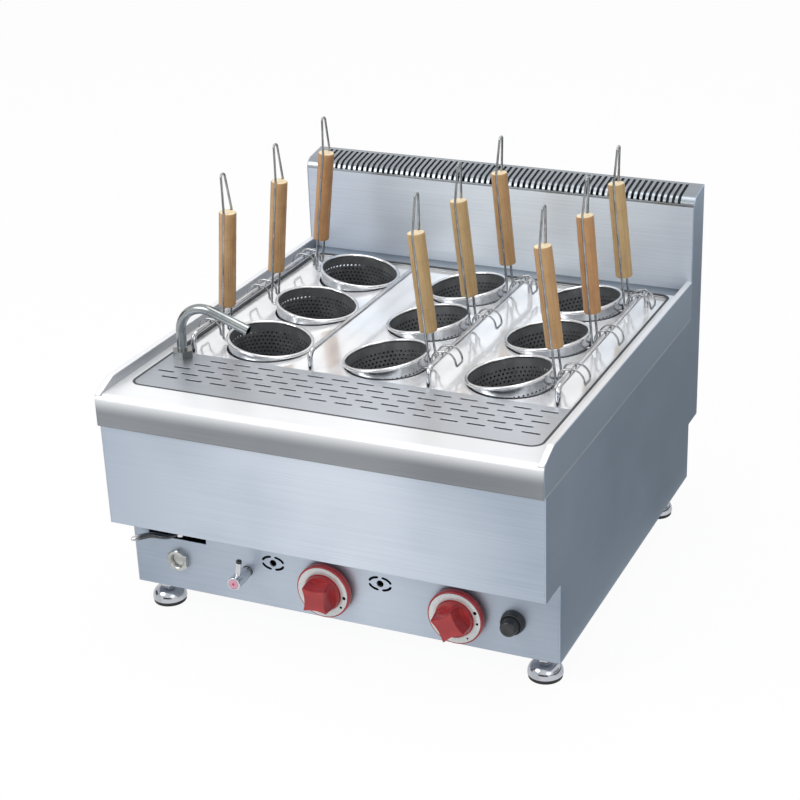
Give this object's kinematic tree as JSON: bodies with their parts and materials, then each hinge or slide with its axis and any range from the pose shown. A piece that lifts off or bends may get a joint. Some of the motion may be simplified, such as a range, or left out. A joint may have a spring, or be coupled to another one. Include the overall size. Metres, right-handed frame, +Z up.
{
  "type": "pasta cooker",
  "caption": "Counter-top gas pasta cooker with a steel casing, a boiling tank under a deck of lift-out strainer baskets on rails, a slotted drainer, a swivel filling spout and front controls.",
  "frame": {"origin": "centre of the footprint on the floor under the feet", "axes": "+X to the user's right, +Y to the rear flue box, +Z up"},
  "size_m": [0.6, 0.65, 0.5663],
  "materials": {
    "casing_steel": "satin stainless sheet",
    "polished_steel": "polished stainless sheet",
    "dark_steel": "heat-stained sheet",
    "basket_steel": "perforated stainless",
    "wire_steel": "bright drawn wire",
    "chrome": "bright plated",
    "brass": "machined",
    "cast_iron": "bare",
    "bamboo": "smooth bamboo",
    "red_plastic": "moulded",
    "black_plastic": "moulded"
  },
  "bodies": {
    "casing": {"base_pan": "casing_steel", "left_side_panel": "casing_steel", "right_side_panel": "casing_steel", "rear_panel": "casing_steel", "front_panel": "casing_steel", "control_panel": "casing_steel", "worktop": "casing_steel", "tank": "polished_steel", "deck_plate": "polished_steel", "drainer_plate": "polished_steel", "basket_rails": "chrome", "backguard": "casing_steel", "flue_grille": "polished_steel", "flue_duct": "dark_steel", "burners": "cast_iron", "gas_manifold": "casing_steel", "gas_valves": "brass", "igniter_body": "black_plastic", "drain_valve": "brass", "drain_outlet": "casing_steel", "water_line": "chrome"},
    "left_front_basket": {"left_front_bowl": "basket_steel", "left_front_handle": "wire_steel", "left_front_grip": "bamboo"},
    "left_middle_basket": {"left_middle_bowl": "basket_steel", "left_middle_handle": "wire_steel", "left_middle_grip": "bamboo"},
    "left_back_basket": {"left_back_bowl": "basket_steel", "left_back_handle": "wire_steel", "left_back_grip": "bamboo"},
    "centre_front_basket": {"centre_front_bowl": "basket_steel", "centre_front_handle": "wire_steel", "centre_front_grip": "bamboo"},
    "centre_middle_basket": {"centre_middle_bowl": "basket_steel", "centre_middle_handle": "wire_steel", "centre_middle_grip": "bamboo"},
    "centre_back_basket": {"centre_back_bowl": "basket_steel", "centre_back_handle": "wire_steel", "centre_back_grip": "bamboo"},
    "right_front_basket": {"right_front_bowl": "basket_steel", "right_front_handle": "wire_steel", "right_front_grip": "bamboo"},
    "right_middle_basket": {"right_middle_bowl": "basket_steel", "right_middle_handle": "wire_steel", "right_middle_grip": "bamboo"},
    "right_back_basket": {"right_back_bowl": "basket_steel", "right_back_handle": "wire_steel", "right_back_grip": "bamboo"},
    "left_spindle": {"left_gas_spindle": "brass"},
    "right_spindle": {"right_gas_spindle": "brass"},
    "left_knob": {"left_gas_knob": "red_plastic"},
    "right_knob": {"right_gas_knob": "red_plastic"},
    "igniter_push": {"igniter_button": "black_plastic"},
    "lever": {"drain_lever": "chrome"},
    "tap": {"tap_handle": "chrome"},
    "spout": {"filling_spout": "chrome"},
    "foot_front_left": {"front_left_foot": "chrome"},
    "foot_front_right": {"front_right_foot": "chrome"},
    "foot_rear_left": {"rear_left_foot": "chrome"},
    "foot_rear_right": {"rear_right_foot": "chrome"}
  },
  "joints": [
    {"name": "left_front_lift", "type": "slide", "parent": "casing", "child": "left_front_basket", "axis": [0.1219, 0, 0.9925], "range_m": [0, 0.15]},
    {"name": "left_middle_lift", "type": "slide", "parent": "casing", "child": "left_middle_basket", "axis": [0.1392, 0, 0.9903], "range_m": [0, 0.15]},
    {"name": "left_back_lift", "type": "slide", "parent": "casing", "child": "left_back_basket", "axis": [0.1564, 0, 0.9877], "range_m": [0, 0.15]},
    {"name": "centre_front_lift", "type": "slide", "parent": "casing", "child": "centre_front_basket", "axis": [-0.1392, 0, 0.9903], "range_m": [0, 0.15]},
    {"name": "centre_middle_lift", "type": "slide", "parent": "casing", "child": "centre_middle_basket", "axis": [-0.1392, 0, 0.9903], "range_m": [0, 0.15]},
    {"name": "centre_back_lift", "type": "slide", "parent": "casing", "child": "centre_back_basket", "axis": [-0.1219, 0, 0.9925], "range_m": [0, 0.15]},
    {"name": "right_front_lift", "type": "slide", "parent": "casing", "child": "right_front_basket", "axis": [-0.1564, 0, 0.9877], "range_m": [0, 0.15]},
    {"name": "right_middle_lift", "type": "slide", "parent": "casing", "child": "right_middle_basket", "axis": [-0.1219, 0, 0.9925], "range_m": [0, 0.15]},
    {"name": "right_back_lift", "type": "slide", "parent": "casing", "child": "right_back_basket", "axis": [-0.1392, 0, 0.9903], "range_m": [0, 0.15]},
    {"name": "left_knob_push", "type": "slide", "parent": "casing", "child": "left_spindle", "axis": [0, 1, 0], "range_m": [0, 0.004], "stiffness_N_per_m": 600},
    {"name": "left_knob_turn", "type": "hinge", "parent": "left_spindle", "child": "left_knob", "pos_m": [-0.016, -0.284, 0.083], "axis": [0, -1, 0], "range_deg": [0, 210]},
    {"name": "right_knob_push", "type": "slide", "parent": "casing", "child": "right_spindle", "axis": [0, 1, 0], "range_m": [0, 0.004], "stiffness_N_per_m": 600},
    {"name": "right_knob_turn", "type": "hinge", "parent": "right_spindle", "child": "right_knob", "pos_m": [0.166, -0.284, 0.083], "axis": [0, -1, 0], "range_deg": [-24, 186]},
    {"name": "igniter_press", "type": "slide", "parent": "casing", "child": "igniter_push", "axis": [0, 1, 0], "range_m": [0, 0.005], "stiffness_N_per_m": 800},
    {"name": "drain_lever_turn", "type": "hinge", "parent": "casing", "child": "lever", "pos_m": [-0.234, -0.259, 0.1155], "axis": [0, 0, 1], "range_deg": [0, 90]},
    {"name": "tap_turn", "type": "hinge", "parent": "casing", "child": "tap", "pos_m": [-0.132, -0.284, 0.084], "axis": [0, -1, 0], "range_deg": [0, 90]},
    {"name": "spout_swivel", "type": "hinge", "parent": "casing", "child": "spout", "pos_m": [-0.258, -0.178, 0.34], "axis": [0, 0, 1], "range_deg": [-90, 0]},
    {"name": "front_left_foot_level", "type": "slide", "parent": "casing", "child": "foot_front_left", "axis": [0, 0, -1], "range_m": [0, 0.012]},
    {"name": "front_right_foot_level", "type": "slide", "parent": "casing", "child": "foot_front_right", "axis": [0, 0, -1], "range_m": [0, 0.012]},
    {"name": "rear_left_foot_level", "type": "slide", "parent": "casing", "child": "foot_rear_left", "axis": [0, 0, -1], "range_m": [0, 0.012]},
    {"name": "rear_right_foot_level", "type": "slide", "parent": "casing", "child": "foot_rear_right", "axis": [0, 0, -1], "range_m": [0, 0.012]}
  ]
}
